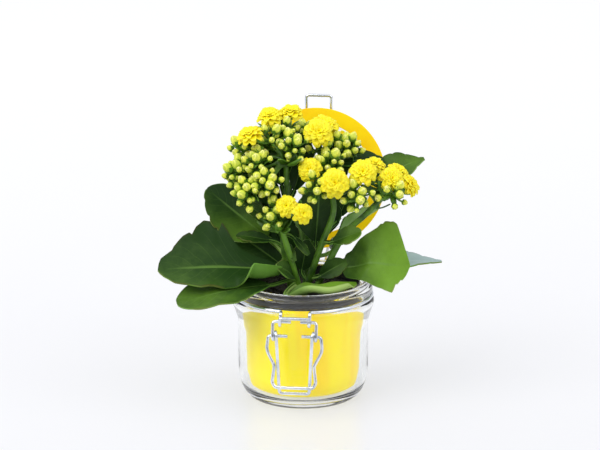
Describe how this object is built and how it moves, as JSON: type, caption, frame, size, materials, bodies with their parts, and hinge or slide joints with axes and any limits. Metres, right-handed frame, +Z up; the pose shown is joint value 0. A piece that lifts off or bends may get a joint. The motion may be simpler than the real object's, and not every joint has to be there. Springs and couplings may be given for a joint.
{
  "type": "potted kalanchoe in a clip-top jar",
  "caption": "Double yellow kalanchoe in a short clip-top glass jar with a yellow liner, its glass lid leaning open behind and a wire clasp hanging in front.",
  "frame": {"origin": "centre of the jar's foot, on the surface it stands on", "axes": "+Z up; the clasp is at -Y, the lid hinge at +Y, hinge axes along X"},
  "size_m": [0.197, 0.1682, 0.209],
  "materials": {
    "clear_glass": "clear, pressed, smooth",
    "yellow_liner": "satin yellow sheet",
    "dark_plastic": "dull blue-black",
    "potting_soil": "moist dark crumb of bark and peat",
    "zinc_wire": "bright zinc-plated spring wire",
    "yellow_rubber": "smooth matt yellow",
    "leaf_green": "waxy dark green, paler beneath, reddish edge",
    "stem_green": "fresh green, slightly glossy",
    "bud_green": "yellow-green with pale tips",
    "petal_yellow": "soft bright yellow"
  },
  "bodies": {
    "jar": {"stem_left": "stem_green", "stem_front": "stem_green", "stem_centre": "stem_green", "stem_right": "stem_green", "stem_back": "stem_green", "leaf_left_big": "leaf_green", "leaf_left_low": "leaf_green", "leaf_left_high": "leaf_green", "leaf_left_small": "leaf_green", "leaf_left_narrow": "leaf_green", "leaf_middle": "leaf_green", "leaf_mouth": "leaf_green", "leaf_right_small": "leaf_green", "leaf_right_big": "leaf_green", "leaf_right_far": "leaf_green", "leaf_right_high": "leaf_green", "leaf_back_left": "leaf_green", "leaf_back_middle": "leaf_green", "leaf_back_right": "leaf_green", "flower_top_left": "petal_yellow", "flower_top_mid": "petal_yellow", "flower_upper_left": "petal_yellow", "flower_upper_right": "petal_yellow", "flower_upper_back": "petal_yellow", "flower_middle": "petal_yellow", "flower_front": "petal_yellow", "flower_right_front": "petal_yellow", "flower_right_top": "petal_yellow", "flower_right_mid": "petal_yellow", "flower_right_back": "petal_yellow", "flower_right_edge": "petal_yellow", "flower_low_left": "petal_yellow", "flower_low_right": "petal_yellow", "flower_back_left": "petal_yellow", "flower_back_right": "petal_yellow", "bud_spray_top_left": "bud_green", "bud_spray_top_mid": "bud_green", "bud_spray_upper_left": "bud_green", "bud_spray_left_outer": "bud_green", "bud_spray_left_inner": "bud_green", "bud_spray_left_low": "bud_green", "bud_spray_left_front": "bud_green", "bud_spray_low_left": "bud_green", "bud_spray_centre": "bud_green", "bud_spray_centre_low": "bud_green", "bud_spray_right_low": "bud_green", "bud_spray_right_outer": "bud_green", "bud_spray_back_mid": "bud_green", "bud_spray_back_top": "bud_green", "glass_jar": "clear_glass", "yellow_liner": "yellow_liner", "nursery_pot": "dark_plastic", "soil": "potting_soil", "neck_wire": "zinc_wire"},
    "lid": {"lid_glass": "clear_glass", "gasket": "yellow_rubber", "lid_wire": "zinc_wire"},
    "lever": {"clasp_lever": "zinc_wire"},
    "bail": {"clasp_bail": "zinc_wire"}
  },
  "joints": [
    {"name": "lid_hinge", "type": "hinge", "parent": "jar", "child": "lid", "pos_m": [0, 0.062, 0.0801], "axis": [1, 0, 0], "range_deg": [0, 10]},
    {"name": "lever_pivot", "type": "hinge", "parent": "jar", "child": "lever", "pos_m": [0, -0.05545, 0.0706], "axis": [-1, 0, 0], "range_deg": [0, 100]},
    {"name": "bail_pivot", "type": "hinge", "parent": "lever", "child": "bail", "pos_m": [0, -0.05575, 0.0602], "axis": [-1, 0, 0], "range_deg": [0, 100]}
  ]
}
